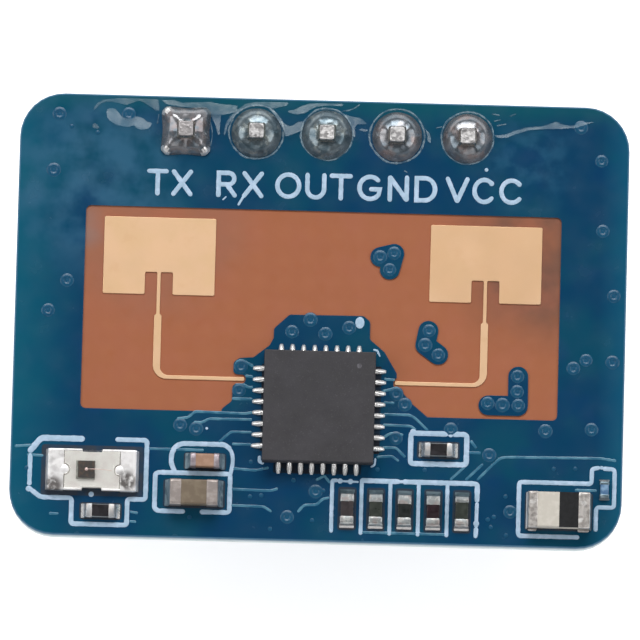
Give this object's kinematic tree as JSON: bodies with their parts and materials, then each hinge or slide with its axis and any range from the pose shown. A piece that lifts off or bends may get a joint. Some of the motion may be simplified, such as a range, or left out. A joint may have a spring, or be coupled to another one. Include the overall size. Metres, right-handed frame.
{
  "type": "microwave radar sensor module",
  "caption": "Flat circuit board module with gold patch antennas, a square radar chip, a clear light sensor, chip components and a pin header on its back.",
  "frame": {"origin": "under the middle of the board, in the plane of the header pins' tips", "axes": "+X along the header row, +Y across the board towards the header, +Z out of the component face"},
  "size_m": [0.022, 0.016, 0.0106],
  "materials": {
    "solder_mask": "glossy blue solder mask over copper and glass-epoxy laminate",
    "gold_foil": "satin gold plating on copper foil",
    "chip_plastic": "fine-grained moulded epoxy",
    "header_nylon": "moulded black nylon",
    "pin_metal": "bright tinned",
    "solder": "bright tin solder",
    "sensor_laminate": "white laminate",
    "silicon_die": "polished silicon",
    "clear_resin": "clear cast epoxy",
    "tinned_terminal": "tin plating with solder",
    "resistor_glaze": "black glaze",
    "tan_ceramic": "fired ceramic",
    "brown_ceramic": "fired ceramic",
    "row_glaze_1": "dark brown-grey glaze",
    "row_glaze_2": "olive-grey glaze",
    "row_glaze_3": "black glaze",
    "row_glaze_4": "dark brown glaze",
    "row_glaze_5": "olive-grey glaze",
    "cream_ceramic": "fired ceramic",
    "blue_ceramic": "blue glaze",
    "crystal_lid": "nickel-plated lid"
  },
  "bodies": {
    "root": {"circuit_board": "solder_mask", "antenna_left": "gold_foil", "antenna_right": "gold_foil", "radar_chip": "chip_plastic", "header_strip": "header_nylon", "header_pin_1": "pin_metal", "header_pin_2": "pin_metal", "header_pin_3": "pin_metal", "header_pin_4": "pin_metal", "header_pin_5": "pin_metal", "solder_joint_1": "solder", "solder_joint_2": "solder", "solder_joint_3": "solder", "solder_joint_4": "solder", "solder_joint_5": "solder", "light_sensor_base": "sensor_laminate", "light_sensor_die": "silicon_die", "light_sensor_lens": "clear_resin", "light_sensor_terminal_1": "tinned_terminal", "light_sensor_terminal_2": "tinned_terminal", "sensor_resistor_body": "resistor_glaze", "sensor_resistor_terminal_1": "tinned_terminal", "sensor_resistor_terminal_2": "tinned_terminal", "side_resistor_body": "resistor_glaze", "side_resistor_terminal_1": "tinned_terminal", "side_resistor_terminal_2": "tinned_terminal", "tan_capacitor_body": "tan_ceramic", "tan_capacitor_terminal_1": "tinned_terminal", "tan_capacitor_terminal_2": "tinned_terminal", "large_capacitor_body": "brown_ceramic", "large_capacitor_terminal_1": "tinned_terminal", "large_capacitor_terminal_2": "tinned_terminal", "row_resistor_1_body": "row_glaze_1", "row_resistor_1_terminal_1": "tinned_terminal", "row_resistor_1_terminal_2": "tinned_terminal", "row_resistor_2_body": "row_glaze_2", "row_resistor_2_terminal_1": "tinned_terminal", "row_resistor_2_terminal_2": "tinned_terminal", "row_resistor_3_body": "row_glaze_3", "row_resistor_3_terminal_1": "tinned_terminal", "row_resistor_3_terminal_2": "tinned_terminal", "row_resistor_4_body": "row_glaze_4", "row_resistor_4_terminal_1": "tinned_terminal", "row_resistor_4_terminal_2": "tinned_terminal", "row_resistor_5_body": "row_glaze_5", "row_resistor_5_terminal_1": "tinned_terminal", "row_resistor_5_terminal_2": "tinned_terminal", "chip_antenna_body": "cream_ceramic", "chip_antenna_terminal_1": "tinned_terminal", "chip_antenna_terminal_2": "tinned_terminal", "matching_inductor_body": "blue_ceramic", "matching_inductor_terminal_1": "tinned_terminal", "matching_inductor_terminal_2": "tinned_terminal", "wireless_chip": "chip_plastic", "radar_crystal": "crystal_lid", "wireless_crystal": "crystal_lid", "regulator": "chip_plastic"}
  },
  "joints": []
}
